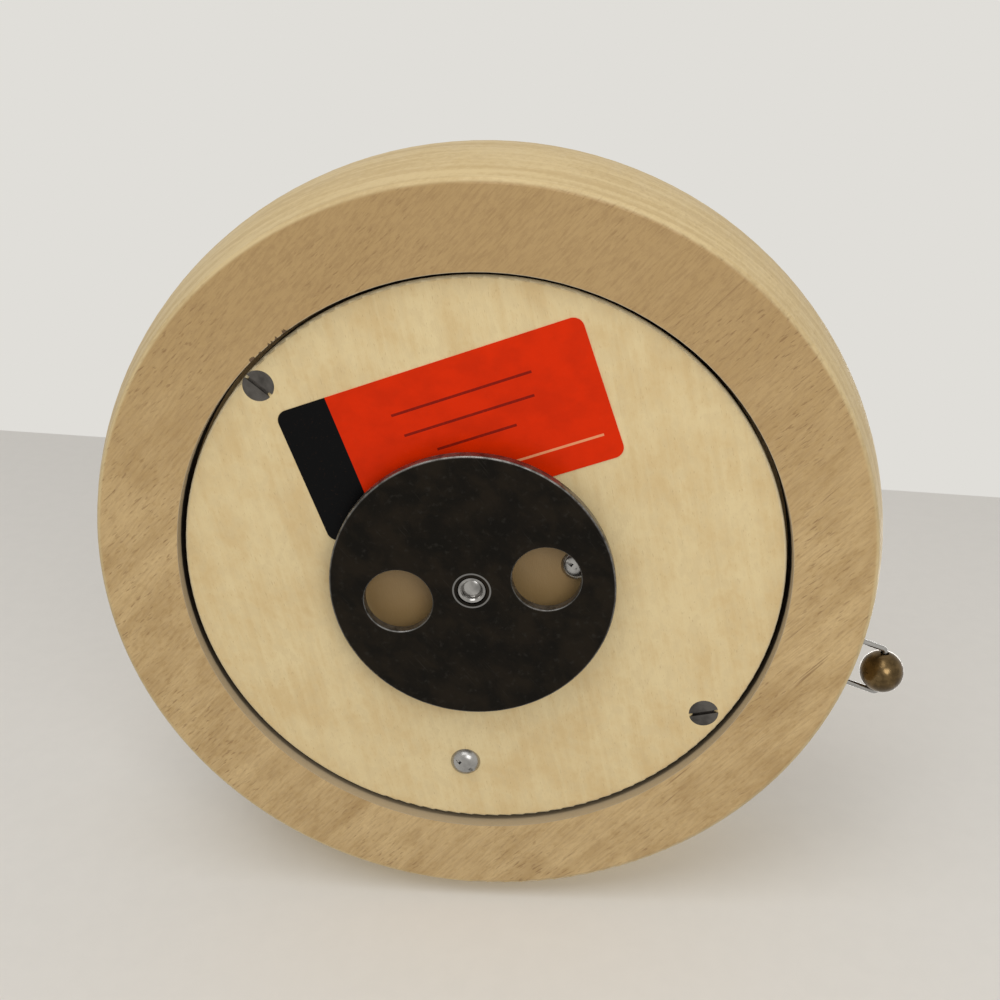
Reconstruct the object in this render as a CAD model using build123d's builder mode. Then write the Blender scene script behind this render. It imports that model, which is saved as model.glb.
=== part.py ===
from build123d import *
from math import cos, pi, radians, sin, sqrt
import os

# Disc music box: a turned wooden base that stands, and turns, on the winding disc of the
# musical movement inside it. Millimetres, +Z up. The origin is on the winding arbor's axis,
# in the outer face of the disc, which is the face that the box stands on.

os.makedirs("parts", exist_ok=True)

# ---------------------------------------------------------------- driving dimensions

# winding disc
disc_diameter = 42.5
disc_thickness = 1.6
disc_edge_round = 0.35
finger_hole_diameter = 10.2
finger_hole_spacing = 22.4
finger_hole_angle = -11.2
hub_neck_diameter = 4.4
hub_boss_diameter = 7.0
hub_boss_length = 2.5
hub_rivet_edge = 0.35
hub_recess = 0.1
arbor_end_recess = 0.3
arbor_dome_height = 0.4

# wooden base: its turned axis stands a little beside the arbor's
case_x = 1.16
case_y = -0.57
disc_proud = 3.0
base_height = 30.0
base_face_radius = 58.0
base_belly_radius = 61.0
base_bottom_round = 0.9
base_top_round = 2.4
top_thickness = 4.5
cavity_gap = 0.9

# bottom plate and its screws
plate_radius = 45.2
plate_edge_gap = 0.7
plate_thickness = 4.0
plate_recess = 1.5
plate_edge_round = 0.5
arbor_hole_diameter = 8.8
wood_screw_reach = (42.9, 41.9)
wood_screw_bearings = (-137.6, 34.0)
wood_screw_slot_angles = (40.0, -12.0)
wood_screw_diameter = 2.2
wood_screw_head_diameter = 4.6
wood_screw_length = 12.0
screw_slot_width = 0.55

# label on the plate
label_length = 46.0
label_width = 21.4
label_thickness = 0.12
label_corner = 1.6
label_x = -3.25
label_y = -22.85
label_angle = -19.3

# movement screws, seen from below
movement_screw_places = ((15.4, -2.5), (-16.4, -3.9), (-1.7, 33.7))
movement_screw_diameter = 2.5
movement_screw_head_diameter = 4.8
movement_screw_head_height = 1.3
movement_screw_slot_angle = 35.0
screw_hole_clearance = 0.05

# bedplate
bed_thickness = 1.8
bed_corner_round = 2.5
bed_half_width = 18.6
bed_front = -14.5
bed_side_end = 32.0
bed_governor_end = 27.6
bed_tail_margin = 0.2
bed_tail_left = -13.0
bed_tail_right = 9.3

# winding arbor
arbor_radius = 1.5
running_clearance = 0.05
bush_outer_radius = 3.0
bush_flange_radius = 3.8
bush_flange_height = 0.3
core_radius = 2.4
arbor_tail = 0.5
end_gap = 0.3

# spring cage and mainspring
cage_inner_radius = 10.9
cage_wall = 0.6
cage_top_wall = 0.7
cage_inner_height = 11.2
cage_round = 0.6
cage_foot_length = 3.9
cage_foot_width = 4.6
cage_feet = 3
cage_foot_angle = 30.0
rivet_radius = 0.8
rivet_head_radius = 1.4
rivet_head_height = 0.6
spring_thickness = 0.28
spring_half_turns = 15
spring_side_gap = 1.0

# great wheel and ratchet
crown_teeth = 52
crown_module = 0.5
crown_face = 1.8
crown_cage_gap = 0.7
crown_inset = 0.1
crown_tooth_share = 0.4
great_web_thickness = 1.0
great_hub_radius = 3.4
great_spokes = 4
great_spoke_width = 2.6
ratchet_teeth = 16
ratchet_radius = 4.6
ratchet_depth = 0.7
ratchet_thickness = 1.0
ratchet_square = 2.4
click_pivot_radius = 9.0
click_pivot_angle = -48.0
click_screw_radius = 0.8
click_head_height = 0.8
click_gap = 0.15
click_nose_width = 0.7
click_leaf = 0.3
click_spring_post = 1.0
clip_radius = 2.6
clip_thickness = 0.5
clip_mouth_width = 1.8
clip_groove_radius = 1.1

# cylinder
axis_over_bed = 7.25
cylinder_pinion_leaves = 13
cylinder_arbor_radius = 0.9
cylinder_radius = 6.2
cylinder_wall = 0.5
cylinder_length = 15.2
cylinder_cap_thickness = 0.6
pin_reach = 0.65
pin_radius = 0.17
pin_steps = 22
pin_sides = 5
chord_intervals = (0, 4, 9)
cylinder_wheel_teeth = 32
train_module = 0.4
wheel_width = 1.0
tooth_addendum = 0.9
tooth_dedendum = 1.15

# second arbor and governor
second_pinion_leaves = 8
second_arbor_radius = 0.5
second_pinion_width = 1.5
worm_wheel_teeth = 28
worm_pitch_radius = 1.1
worm_core_radius = 0.72
worm_tip_reach = 0.34
worm_foot_sink = 0.05
worm_foot_share = 0.2
worm_tip_share = 0.08
worm_turns = 4
governor_arbor_radius = 0.45
pivot_radius = 0.3
pivot_length = 0.7
fan_radius = 4.2
fan_height = 3.4
fan_hub_radius = 1.0
fan_thickness = 0.25
fan_angle = 60.0
fan_over_worm = 1.4

# bearing plates
bearing_plate_thickness = 0.6
bearing_margin = 2.1
bearing_side = 0.6
bearing_round = 1.8
tenon_width = 3.0
plate_wheel_gap = 0.4
frame_sheet = 0.8
frame_width = 4.8
frame_foot_length = 5.0
frame_screw_radius = 0.8
frame_screw_head_radius = 1.3
frame_screw_head_height = 0.8
frame_screw_spacing = 2.8
small_slot_width = 0.35
frame_arm_reach = 1.6

# comb
comb_tooth_count = 18
comb_thickness = 0.9
comb_tip_thickness = 0.45
comb_slot_width = 0.24
comb_tip_clearance = 0.2
comb_length = 10.95
comb_bass_slot = 7.6
comb_treble_slot = 5.4
comb_seat_width = 3.1
comb_weight_length = 2.2
comb_weight_depth = 0.9
comb_weight_setback = 0.8
comb_weighted_teeth = 7
comb_corner = 2.8
comb_screw_radius = 0.9
comb_screw_head_radius = 1.5
comb_screw_head_height = 1.0
comb_screw_depth = 4.5

# stop wire and its bead, laid out along and across the direction in which it slides
slide_angle = 20.0
wire_diameter = 0.9
wire_clearance = 0.09
wire_height = 18.0
wire_bend = 0.7
wire_inner_bend = 1.5
wire_hold_leg = -4.74
wire_stop_leg = 3.13
loop_short_stand = 6.9
loop_long_stand = 9.56
hook_length = 2.6
stop_leg_inner_end = 27.0
stop_rise = (24.0, 13.5)
stop_tip = (19.5, 14.8)
stop_height_on_fan = 2.0
bead_diameter = 7.0
bead_bore_radius = 0.7

# ---------------------------------------------------------------- levels and shared places

base_bottom = disc_proud
plate_face = base_bottom + plate_recess
plate_top = plate_face + plate_thickness
wood_screw_spots = tuple(zip(wood_screw_reach, wood_screw_bearings))
base_top = base_bottom + base_height
ceiling = base_top - top_thickness
bed_top = plate_top + bed_thickness

cage_outer_radius = cage_inner_radius + cage_wall
cage_ceiling = bed_top + cage_inner_height
cage_top = cage_ceiling + cage_top_wall

axis_height = bed_top + axis_over_bed
crown_pitch = pi * crown_module
crown_addendum = 0.9 * crown_module
crown_dedendum = 1.1 * crown_module
cylinder_pinion_pitch_radius = cylinder_pinion_leaves * crown_module / 2
crown_pitch_height = axis_height + cylinder_pinion_pitch_radius
crown_root_height = crown_pitch_height + crown_dedendum
crown_inner_radius = cage_outer_radius + crown_cage_gap
crown_outer_radius = crown_inner_radius + crown_face

great_web_bottom = max(cage_top + end_gap, crown_root_height + end_gap)
great_web_top = great_web_bottom + great_web_thickness
ratchet_bottom = great_web_top + end_gap
ratchet_top = ratchet_bottom + ratchet_thickness
clip_bottom = ratchet_top
clip_top = clip_bottom + clip_thickness
arbor_top = clip_top + arbor_tail

front_plate_y = crown_outer_radius + crown_cage_gap
front_plate_end = front_plate_y + bearing_plate_thickness
worm_wheel_y = front_plate_end + plate_wheel_gap
train_plate_y = worm_wheel_y + wheel_width + plate_wheel_gap
train_plate_end = train_plate_y + bearing_plate_thickness
second_pinion_y = train_plate_end + end_gap
cylinder_wheel_y = second_pinion_y + (second_pinion_width - wheel_width) / 2
cylinder_start = cylinder_wheel_y + wheel_width + 2 * end_gap
cylinder_end = cylinder_start + cylinder_length
bracket_y = cylinder_end + 2 * end_gap
bracket_end = bracket_y + bearing_plate_thickness

second_x = train_module * (cylinder_wheel_teeth + second_pinion_leaves) / 2
worm_x = second_x + train_module * worm_wheel_teeth / 2 + worm_pitch_radius
worm_y = worm_wheel_y + wheel_width / 2
train_pitch = pi * train_module
pin_circle_radius = cylinder_radius + pin_reach

worm_start = axis_height - worm_turns / 2 * train_pitch
worm_end = axis_height + worm_turns / 2 * train_pitch
fan_bottom = worm_end + fan_over_worm
fan_top = fan_bottom + fan_height
frame_arm_bottom = fan_top + 2 * end_gap
frame_arm_top = frame_arm_bottom + frame_sheet
frame_post_y = worm_y + fan_radius + 2 * end_gap

bed_corners = (
    (-bed_half_width, bed_front),
    (bed_half_width, bed_front),
    (bed_half_width, bed_governor_end),
    (bed_tail_right, bracket_end + bed_tail_margin),
    (bed_tail_left, bracket_end + bed_tail_margin),
    (-bed_half_width, bed_side_end),
)
bed_reach = max(sqrt((x - case_x) ** 2 + (y - case_y) ** 2) for x, y in bed_corners)
cavity_radius = bed_reach + cavity_gap

case_axis = Axis((case_x, case_y, 0), (0, 0, 1))
case_section = Plane(origin=(case_x, case_y, 0), x_dir=(1, 0, 0), z_dir=(0, -1, 0))
arbor_section = Plane.XZ


def level(height):
    """The horizontal plane at a height."""
    return Plane.XY.offset(height)


def upright(y, x=0.0, z=0.0):
    """A plane across the cylinder's axis, with X to the right and Z up."""
    return Plane(origin=(x, y, z), x_dir=(1, 0, 0), z_dir=(0, -1, 0))


def case_polar(radius, angle):
    """A point at a radius and an angle about the turned axis of the case."""
    return (case_x + radius * cos(radians(angle)), case_y + radius * sin(radians(angle)))


def slot_plane(x, y, height, angle):
    """A horizontal plane at a screw's head, turned to the direction of its slot."""
    along = (cos(radians(angle)), sin(radians(angle)), 0)
    return Plane(origin=(x, y, height), x_dir=along, z_dir=(0, 0, 1))


def wire_point(reach, side, height):
    """A point given along and across the stop wire's sliding direction."""
    along = radians(slide_angle)
    return (
        case_x + reach * cos(along) - side * sin(along),
        case_y + reach * sin(along) + side * cos(along),
        height,
    )


def toothed_outline(teeth, module, share, turned=0.0):
    """A wheel's outline: tapered teeth with chamfered tips on a root circle."""
    pitch_radius = teeth * module / 2
    root_radius = pitch_radius - tooth_dedendum * module
    tip_radius = pitch_radius + tooth_addendum * module
    shoulder = (root_radius + 2 * tip_radius) / 3
    half_root = 1.25 * share * pi * module / 2
    half_shoulder = 0.55 * share * pi * module / 2
    half_tip = 0.2 * share * pi * module / 2
    foot = 0.9 * root_radius
    with BuildSketch() as tooth:
        with BuildLine():
            Polyline(
                (foot, half_root),
                (root_radius, half_root),
                (shoulder, half_shoulder),
                (tip_radius, half_tip),
                (tip_radius, -half_tip),
                (shoulder, -half_shoulder),
                (root_radius, -half_root),
                (foot, -half_root),
                close=True,
            )
        make_face()
    with BuildSketch() as outline:
        Circle(root_radius)
        with PolarLocations(0, teeth, start_angle=turned):
            add(tooth.sketch)
    return outline.sketch


def keep(piece, name):
    """Label a finished piece and write it."""
    piece.label = name
    export_step(piece, f"parts/{name}.step")


# ---------------------------------------------------------------- wooden base

with BuildPart() as wood_base:
    # the turned body with its bulging side and rounded rims
    with BuildSketch(case_section) as body_profile:
        with BuildLine():
            belly = (base_belly_radius, base_bottom + base_height / 2)
            Line((0, base_bottom), (base_face_radius, base_bottom))
            ThreePointArc((base_face_radius, base_bottom), belly, (base_face_radius, base_top))
            Polyline((base_face_radius, base_top), (0, base_top), (0, base_bottom))
        make_face()
        for rim, rim_round in ((base_bottom, base_bottom_round), (base_top, base_top_round)):
            nearest = body_profile.vertices().sort_by_distance((base_face_radius, rim))
            fillet(nearest[0], rim_round)
    revolve(axis=case_axis)
    # the rebate for the plate, and the cavity for the movement
    with BuildSketch(level(base_bottom)):
        with Locations((case_x, case_y)):
            Circle(plate_radius + plate_edge_gap)
    extrude(amount=plate_top - base_bottom, mode=Mode.SUBTRACT)
    with BuildSketch(level(plate_top)):
        with Locations((case_x, case_y)):
            Circle(cavity_radius)
    extrude(amount=ceiling - plate_top, mode=Mode.SUBTRACT)
    # pilot holes of the two plate screws
    with BuildSketch(level(plate_top)):
        with Locations(*[case_polar(*spot) for spot in wood_screw_spots]):
            Circle(wood_screw_diameter / 2)
    extrude(amount=wood_screw_length - plate_thickness, mode=Mode.SUBTRACT)
    # guide holes of the stop wire's two legs
    for leg in (wire_hold_leg, wire_stop_leg):
        inner = wire_point(cavity_radius - 2 * wire_diameter, leg, wire_height)
        guide = Plane(origin=inner, z_dir=(cos(radians(slide_angle)), sin(radians(slide_angle)), 0))
        with BuildSketch(guide):
            Circle(wire_diameter / 2 + wire_clearance)
        extrude(amount=base_belly_radius - cavity_radius + 4 * wire_diameter, mode=Mode.SUBTRACT)
keep(wood_base.part, "wood_base")

# ---------------------------------------------------------------- bottom plate and what holds it

with BuildPart() as bottom_plate:
    with BuildSketch(level(plate_face)):
        with Locations((case_x, case_y)):
            Circle(plate_radius)
    extrude(amount=plate_thickness)
    fillet(bottom_plate.edges().filter_by(GeomType.CIRCLE).sort_by(Axis.Z)[0], plate_edge_round)
    with BuildSketch(level(plate_face)):
        Circle(arbor_hole_diameter / 2)
        with Locations(*movement_screw_places):
            Circle(movement_screw_diameter / 2 + screw_hole_clearance)
    extrude(amount=plate_thickness, mode=Mode.SUBTRACT)
    for spot in wood_screw_spots:
        with Locations(Plane(origin=(*case_polar(*spot), plate_face), z_dir=(0, 0, -1))):
            CounterSinkHole(
                radius=wood_screw_diameter / 2,
                counter_sink_radius=wood_screw_head_diameter / 2,
                depth=plate_thickness,
                counter_sink_angle=90,
            )
keep(bottom_plate.part, "bottom_plate")

with BuildPart() as plate_screws:
    head_height = (wood_screw_head_diameter - wood_screw_diameter) / 2
    for spot, slot_angle in zip(wood_screw_spots, wood_screw_slot_angles):
        x, y = case_polar(*spot)
        section = Plane(origin=(x, y, plate_face), x_dir=(1, 0, 0), z_dir=(0, -1, 0))
        with BuildSketch(section):
            with BuildLine():
                Polyline(
                    (0, 0),
                    (wood_screw_head_diameter / 2, 0),
                    (wood_screw_diameter / 2, head_height),
                    (wood_screw_diameter / 2, wood_screw_length - wood_screw_diameter),
                    (0, wood_screw_length),
                    (0, 0),
                )
            make_face()
        revolve(axis=Axis((x, y, 0), (0, 0, 1)))
        with BuildSketch(slot_plane(x, y, plate_face, slot_angle)):
            Rectangle(wood_screw_head_diameter, screw_slot_width)
        extrude(amount=screw_slot_width, mode=Mode.SUBTRACT)
keep(plate_screws.part, "plate_screws")

with BuildPart() as movement_screws:
    for x, y in movement_screw_places:
        section = Plane(origin=(x, y, plate_face), x_dir=(1, 0, 0), z_dir=(0, -1, 0))
        with BuildSketch(section):
            with BuildLine():
                head = movement_screw_head_diameter / 2
                shank = movement_screw_diameter / 2
                tip = plate_thickness + bed_thickness - screw_hole_clearance
                shoulder = sqrt(0.5)
                dome = (shoulder * head, -shoulder * movement_screw_head_height)
                ThreePointArc((0, -movement_screw_head_height), dome, (head, 0))
                Polyline((head, 0), (shank, 0), (shank, tip), (0, tip), (0, -movement_screw_head_height))
            make_face()
        revolve(axis=Axis((x, y, 0), (0, 0, 1)))
        head_top = plate_face - movement_screw_head_height
        with BuildSketch(slot_plane(x, y, head_top, movement_screw_slot_angle)):
            Rectangle(movement_screw_head_diameter, screw_slot_width)
        extrude(amount=screw_slot_width, mode=Mode.SUBTRACT)
keep(movement_screws.part, "movement_screws")

with BuildPart() as label:
    with BuildSketch(level(plate_face - label_thickness)):
        with Locations(Location((label_x, label_y, 0), (0, 0, label_angle))):
            RectangleRounded(label_length, label_width, label_corner)
    extrude(amount=label_thickness)
keep(label.part, "label")

# ---------------------------------------------------------------- bedplate and arbor bush

comb_tip_x = -(pin_circle_radius + comb_tip_clearance)
comb_back_x = comb_tip_x - comb_length
comb_bottom = axis_height - comb_thickness / 4
comb_top = comb_bottom + comb_thickness
comb_screw_x = comb_back_x + comb_seat_width / 2
comb_screw_ys = (cylinder_start + 0.24 * cylinder_length, cylinder_start + 0.66 * cylinder_length)
frame_foot_end = frame_post_y + frame_foot_length
frame_screw_y = frame_foot_end - frame_screw_head_radius - end_gap
frame_screw_xs = (worm_x - frame_screw_spacing / 2, worm_x + frame_screw_spacing / 2)

with BuildPart() as bedplate:
    # stamped outline, narrowed towards the far end
    with BuildSketch(level(plate_top)) as bed_outline:
        with BuildLine():
            Polyline(*bed_corners, close=True)
        make_face()
        fillet(bed_outline.vertices(), bed_corner_round)
    extrude(amount=bed_thickness)
    # raised seat of the comb, with its outer corner cut off
    with BuildSketch(level(bed_top)):
        with BuildLine():
            Polyline(
                (comb_back_x, cylinder_start),
                (comb_back_x + comb_seat_width, cylinder_start),
                (comb_back_x + comb_seat_width, cylinder_end - comb_seat_width / 2),
                (comb_back_x + comb_corner, cylinder_end - comb_seat_width / 2),
                (comb_back_x, cylinder_end - comb_seat_width / 2 - comb_corner),
                (comb_back_x, cylinder_start),
            )
        make_face()
    extrude(amount=comb_bottom - bed_top)
    # holes of the bush, the movement screws, the cage rivets and the governor's lower pivot
    with BuildSketch(level(plate_top)):
        Circle(bush_outer_radius)
        with Locations(*movement_screw_places):
            Circle(movement_screw_diameter / 2)
        with PolarLocations(cage_outer_radius + cage_foot_length / 2, cage_feet, start_angle=cage_foot_angle):
            Circle(rivet_radius)
        with Locations((worm_x, worm_y)):
            Circle(pivot_radius + running_clearance)
        with Locations(*[(x, frame_screw_y) for x in frame_screw_xs]):
            Circle(frame_screw_radius)
        # mortises of the bearing plates' tenons
        with Locations((0, front_plate_y + bearing_plate_thickness / 2)):
            Rectangle(tenon_width, bearing_plate_thickness)
        with Locations((second_x, front_plate_y + bearing_plate_thickness / 2)):
            Rectangle(tenon_width, bearing_plate_thickness)
        with Locations((second_x, train_plate_y + bearing_plate_thickness / 2)):
            Rectangle(tenon_width, bearing_plate_thickness)
        with Locations((0, bracket_y + bearing_plate_thickness / 2)):
            Rectangle(tenon_width, bearing_plate_thickness)
    extrude(amount=bed_thickness, mode=Mode.SUBTRACT)
    # threads of the comb screws
    with BuildSketch(level(comb_bottom)):
        with Locations(*[(comb_screw_x, y) for y in comb_screw_ys]):
            Circle(comb_screw_radius)
    extrude(amount=-comb_screw_depth, mode=Mode.SUBTRACT)
keep(bedplate.part, "bedplate")

with BuildPart() as arbor_bush:
    with BuildSketch(arbor_section):
        with BuildLine():
            Polyline(
                (arbor_radius + running_clearance, plate_top),
                (bush_outer_radius, plate_top),
                (bush_outer_radius, bed_top),
                (bush_flange_radius, bed_top),
                (bush_flange_radius, bed_top + bush_flange_height),
                (arbor_radius + running_clearance, bed_top + bush_flange_height),
                (arbor_radius + running_clearance, plate_top),
            )
        make_face()
    revolve(axis=Axis.Z)
keep(arbor_bush.part, "arbor_bush")

# ---------------------------------------------------------------- spring cage, rivets, mainspring

with BuildPart() as spring_cage:
    # drawn cup, open at the bedplate
    with BuildSketch(level(bed_top)):
        Circle(cage_outer_radius)
    extrude(amount=cage_top - bed_top)
    fillet(spring_cage.edges().filter_by(GeomType.CIRCLE).sort_by(Axis.Z)[-1], cage_round)
    with BuildSketch(level(bed_top)):
        Circle(cage_inner_radius)
    extrude(amount=cage_inner_height, mode=Mode.SUBTRACT)
    # upper bearing of the arbor
    with BuildSketch(level(cage_ceiling)):
        Circle(arbor_radius + running_clearance)
    extrude(amount=cage_top_wall, mode=Mode.SUBTRACT)
    # feet, with their rivet holes
    with BuildSketch(level(bed_top)):
        with PolarLocations(cage_outer_radius - cage_wall / 2, cage_feet, start_angle=cage_foot_angle):
            foot_length = cage_foot_length + cage_wall / 2
            Rectangle(foot_length, cage_foot_width, align=(Align.MIN, Align.CENTER))
        Circle(cage_inner_radius, mode=Mode.SUBTRACT)
        with PolarLocations(cage_outer_radius + cage_foot_length / 2, cage_feet, start_angle=cage_foot_angle):
            Circle(rivet_radius, mode=Mode.SUBTRACT)
    extrude(amount=cage_wall)
keep(spring_cage.part, "spring_cage")

with BuildPart() as cage_rivets:
    with BuildSketch(level(plate_top)):
        with PolarLocations(cage_outer_radius + cage_foot_length / 2, cage_feet, start_angle=cage_foot_angle):
            Circle(rivet_radius)
    extrude(amount=bed_thickness + cage_wall)
    with BuildSketch(level(bed_top + cage_wall)):
        with PolarLocations(cage_outer_radius + cage_foot_length / 2, cage_feet, start_angle=cage_foot_angle):
            Circle(rivet_head_radius)
    extrude(amount=rivet_head_height)
keep(cage_rivets.part, "cage_rivets")

with BuildPart() as mainspring:
    # a strip coiled in half turns, each a little wider than the last
    spring_inner = core_radius + end_gap
    spring_growth = (cage_inner_radius - spring_thickness - spring_inner) / spring_half_turns
    with BuildSketch(level(bed_top + spring_side_gap)):
        with BuildLine():
            for turn in range(spring_half_turns):
                side = 1 if turn % 2 == 0 else -1
                near = spring_inner + turn * spring_growth
                far = near + spring_growth
                middle = (near + far) / 2
                shift = side * (near - far) / 2
                ThreePointArc((side * near, 0), (shift, side * middle), (-side * far, 0))
            last = -1 if spring_half_turns % 2 == 1 else 1
            outer_end = spring_inner + spring_half_turns * spring_growth
            Line((last * outer_end, 0), (last * (outer_end + spring_thickness), 0))
            for turn in reversed(range(spring_half_turns)):
                side = 1 if turn % 2 == 0 else -1
                near = spring_inner + turn * spring_growth + spring_thickness
                far = near + spring_growth
                middle = (near + far) / 2
                shift = side * (near - far) / 2
                ThreePointArc((-side * far, 0), (shift, side * middle), (side * near, 0))
            Line((spring_inner + spring_thickness, 0), (spring_inner, 0))
        make_face()
    extrude(amount=cage_inner_height - 2 * spring_side_gap)
keep(mainspring.part, "mainspring")

# ---------------------------------------------------------------- winder: disc, hub, arbor, ratchet wheel

with BuildPart() as winding_disc:
    with BuildSketch(level(0)):
        Circle(disc_diameter / 2)
        Circle(hub_neck_diameter / 2, mode=Mode.SUBTRACT)
        with PolarLocations(finger_hole_spacing / 2, 2, start_angle=finger_hole_angle):
            Circle(finger_hole_diameter / 2, mode=Mode.SUBTRACT)
    extrude(amount=disc_thickness)
    rounded = winding_disc.edges().filter_by(GeomType.CIRCLE)
    rounded = rounded.filter_by(lambda edge: edge.radius > hub_boss_diameter / 2)
    fillet(rounded.group_by(Axis.Z)[0], disc_edge_round)
keep(winding_disc.part, "winding_disc")

with BuildPart() as winder_hub:
    neck = hub_neck_diameter / 2
    boss = hub_boss_diameter / 2
    boss_top = disc_thickness + hub_boss_length
    with BuildSketch(arbor_section):
        with BuildLine():
            Polyline(
                (arbor_radius, hub_rivet_edge),
                (arbor_radius + hub_rivet_edge / 2, hub_recess),
                (neck - hub_rivet_edge / 2, hub_recess),
                (neck, hub_rivet_edge),
                (neck, disc_thickness),
                (boss, disc_thickness),
                (boss, boss_top - hub_rivet_edge),
                (boss - hub_rivet_edge, boss_top),
                (arbor_radius, boss_top),
                close=True,
            )
        make_face()
    revolve(axis=Axis.Z)
keep(winder_hub.part, "winder_hub")

core_bottom = bed_top + bush_flange_height + end_gap
core_top = cage_ceiling - end_gap

with BuildPart() as arbor:
    # one turned shaft: domed end in the hub, spring core, upper journal, clip groove
    with BuildSketch(arbor_section):
        with BuildLine():
            dome_edge = arbor_end_recess + arbor_dome_height
            dome = (arbor_radius / 2, arbor_end_recess + arbor_dome_height / 4)
            ThreePointArc((0, arbor_end_recess), dome, (arbor_radius, dome_edge))
            Polyline(
                (arbor_radius, dome_edge),
                (arbor_radius, core_bottom),
                (core_radius, core_bottom),
                (core_radius, core_top),
                (arbor_radius, core_top),
                (arbor_radius, clip_bottom),
                (clip_groove_radius, clip_bottom),
                (clip_groove_radius, clip_top),
                (arbor_radius, clip_top),
                (arbor_radius, arbor_top),
                (0, arbor_top),
                (0, arbor_end_recess),
            )
        make_face()
    revolve(axis=Axis.Z)
    # square seat of the ratchet wheel
    with BuildSketch(level(ratchet_bottom)):
        Circle(arbor_radius)
        Rectangle(ratchet_square, ratchet_square, mode=Mode.SUBTRACT)
    extrude(amount=ratchet_thickness, mode=Mode.SUBTRACT)
keep(arbor.part, "arbor")

ratchet_root_radius = ratchet_radius - ratchet_depth
tooth_step = radians(360 / ratchet_teeth)

with BuildPart() as ratchet_wheel:
    with BuildSketch(level(ratchet_bottom)):
        with BuildLine():
            corners = []
            for tooth in range(ratchet_teeth):
                start = tooth * tooth_step
                for corner in (ratchet_root_radius, ratchet_radius):
                    corners.append((corner * cos(start), corner * sin(start)))
            Polyline(*corners, close=True)
        make_face()
        Circle(arbor_radius, mode=Mode.SUBTRACT)
    extrude(amount=ratchet_thickness)
    with BuildSketch(level(ratchet_bottom)):
        Circle(arbor_radius)
        Rectangle(ratchet_square, ratchet_square, mode=Mode.SUBTRACT)
    extrude(amount=ratchet_thickness)
keep(ratchet_wheel.part, "ratchet_wheel")

with BuildPart() as arbor_clip:
    with BuildSketch(level(clip_bottom)):
        Circle(clip_radius)
        Circle(clip_groove_radius, mode=Mode.SUBTRACT)
        Rectangle(clip_radius, clip_mouth_width, align=(Align.MIN, Align.CENTER), mode=Mode.SUBTRACT)
    extrude(amount=clip_thickness)
keep(arbor_clip.part, "arbor_clip")

# ---------------------------------------------------------------- great wheel, click and its spring

click_angle = radians(click_pivot_angle)
click_x = click_pivot_radius * cos(click_angle)
click_y = click_pivot_radius * sin(click_angle)
click_eye_radius = 2 * click_screw_radius

with BuildPart() as great_wheel:
    # crossed-out web and rim over the cage
    with BuildSketch(level(great_web_bottom)):
        Circle(crown_outer_radius)
        Circle(crown_inner_radius - great_web_thickness, mode=Mode.SUBTRACT)
        Circle(great_hub_radius)
        with PolarLocations(0, great_spokes, start_angle=click_pivot_angle):
            spoke_length = crown_inner_radius
            Rectangle(spoke_length, great_spoke_width, align=(Align.MIN, Align.CENTER))
        with Locations((click_x, click_y)):
            Circle(click_eye_radius)
        Circle(arbor_radius + running_clearance, mode=Mode.SUBTRACT)
        with Locations((click_x, click_y)):
            Circle(click_screw_radius, mode=Mode.SUBTRACT)
    extrude(amount=great_web_thickness)
    # the ring that carries the crown teeth, round the outside of the cage
    with BuildSketch(level(crown_root_height)):
        Circle(crown_outer_radius)
        Circle(crown_inner_radius, mode=Mode.SUBTRACT)
    extrude(amount=great_web_bottom - crown_root_height)
    # teeth pointing down, tapered towards their tips and rooted a little way into the ring
    half_tooth = crown_tooth_share * crown_pitch / 2
    crown_depth = crown_dedendum + crown_addendum
    with BuildSketch(upright(crown_inner_radius + crown_inset, 0, crown_root_height)) as crown_tooth:
        with BuildLine():
            Polyline(
                (-1.25 * half_tooth, crown_inset),
                (-1.25 * half_tooth, 0),
                (-0.5 * half_tooth, -crown_depth),
                (0.5 * half_tooth, -crown_depth),
                (1.25 * half_tooth, 0),
                (1.25 * half_tooth, crown_inset),
                (-1.25 * half_tooth, crown_inset),
            )
        make_face()
    tooth = extrude(crown_tooth.sketch, amount=2 * crown_inset - crown_face, mode=Mode.PRIVATE)
    with PolarLocations(0, crown_teeth):
        add(tooth)
keep(great_wheel.part, "great_wheel")

with BuildPart() as click:
    # pawl, lifted just clear of the ratchet's tips: an eye on the click screw and a hooked nose
    nose_x = ratchet_radius + click_gap
    with BuildSketch(level(ratchet_bottom)):
        with BuildLine():
            Polyline(
                (nose_x, 0),
                (nose_x + click_nose_width, 0),
                (nose_x + 2 * click_nose_width, -2 * click_nose_width),
                (click_x + click_eye_radius * sin(pi / 3), click_y + click_eye_radius / 2),
                (click_x - click_eye_radius * sin(pi / 3), click_y + click_eye_radius / 2),
                (nose_x + click_nose_width / 2, -2 * click_nose_width),
                close=True,
            )
        make_face()
        with Locations((click_x, click_y)):
            Circle(click_eye_radius)
            Circle(click_screw_radius + running_clearance, mode=Mode.SUBTRACT)
    extrude(amount=ratchet_thickness)
keep(click.part, "click")

with BuildPart() as click_screw:
    # shouldered screw, its head a little above the pawl
    with BuildSketch(level(great_web_bottom)):
        with Locations((click_x, click_y)):
            Circle(click_screw_radius)
    head_bottom = ratchet_top + click_gap
    extrude(amount=head_bottom - great_web_bottom)
    with BuildSketch(level(head_bottom)):
        with Locations((click_x, click_y)):
            Circle(click_eye_radius)
    extrude(amount=click_head_height)
    with BuildSketch(level(head_bottom + click_head_height)):
        with Locations((click_x, click_y)):
            Rectangle(2 * click_eye_radius, small_slot_width)
    extrude(amount=-click_head_height / 2, mode=Mode.SUBTRACT)
keep(click_screw.part, "click_screw")

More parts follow.
